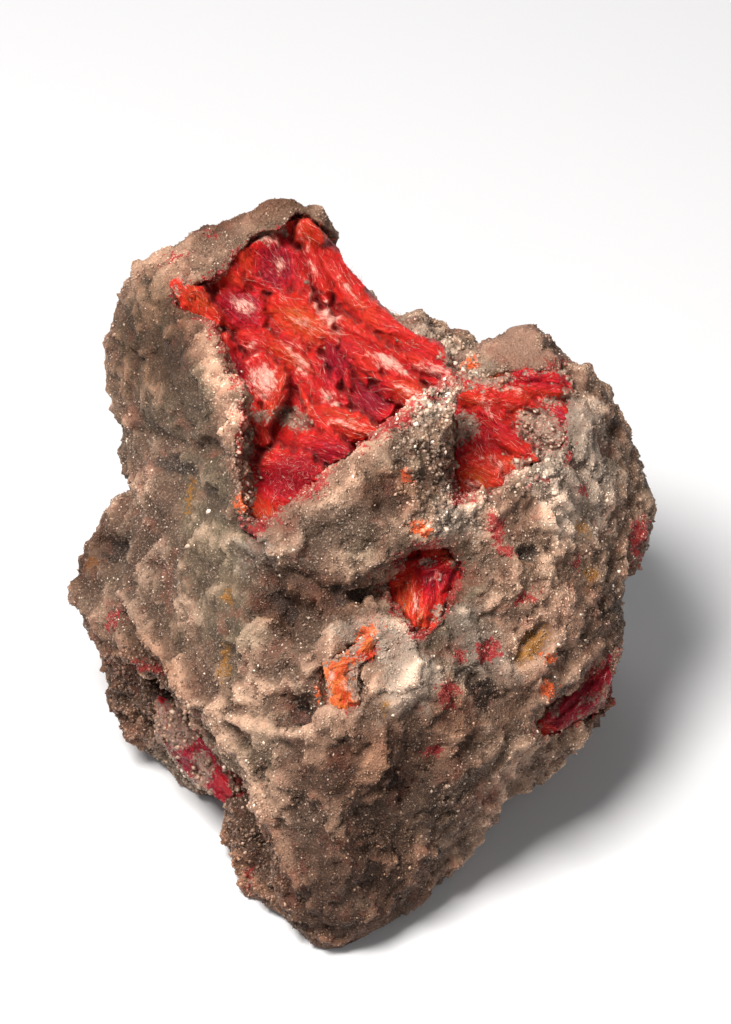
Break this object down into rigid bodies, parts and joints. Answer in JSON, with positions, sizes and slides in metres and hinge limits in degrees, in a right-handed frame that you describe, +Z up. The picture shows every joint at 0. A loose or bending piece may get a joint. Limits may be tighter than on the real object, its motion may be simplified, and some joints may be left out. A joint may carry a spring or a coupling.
{
  "type": "cuprite specimen on quartz matrix",
  "caption": "Broken block of sugary quartz rock leaning back on its flat facet, with crusts of felted red and orange cuprite in its hollows.",
  "frame": {"origin": "under the middle of the bounding box, at the height of the flat face that the rock rests on", "axes": "+Z up; +X to the right of the showy face; the showy face looks towards -Y and upward"},
  "size_m": [0.0602, 0.069, 0.0505],
  "materials": {
    "quartz_rock": "matt, grainy broken quartz rock, pinkish grey with greenish and brown stains",
    "red_cuprite": "silky felted crystals, bright red with orange and pinkish white patches",
    "orange_cuprite": "silky felted crystals, orange",
    "crimson_cuprite": "silky felted crystals, dark crimson"
  },
  "bodies": {
    "root": {"matrix": "quartz_rock", "cuprite_main_hollow": "red_cuprite", "cuprite_right_hollow": "red_cuprite", "cuprite_lower_pocket": "red_cuprite", "cuprite_orange_patch": "orange_cuprite", "cuprite_crimson_seam": "crimson_cuprite", "cuprite_left_crevice": "crimson_cuprite"}
  },
  "joints": []
}
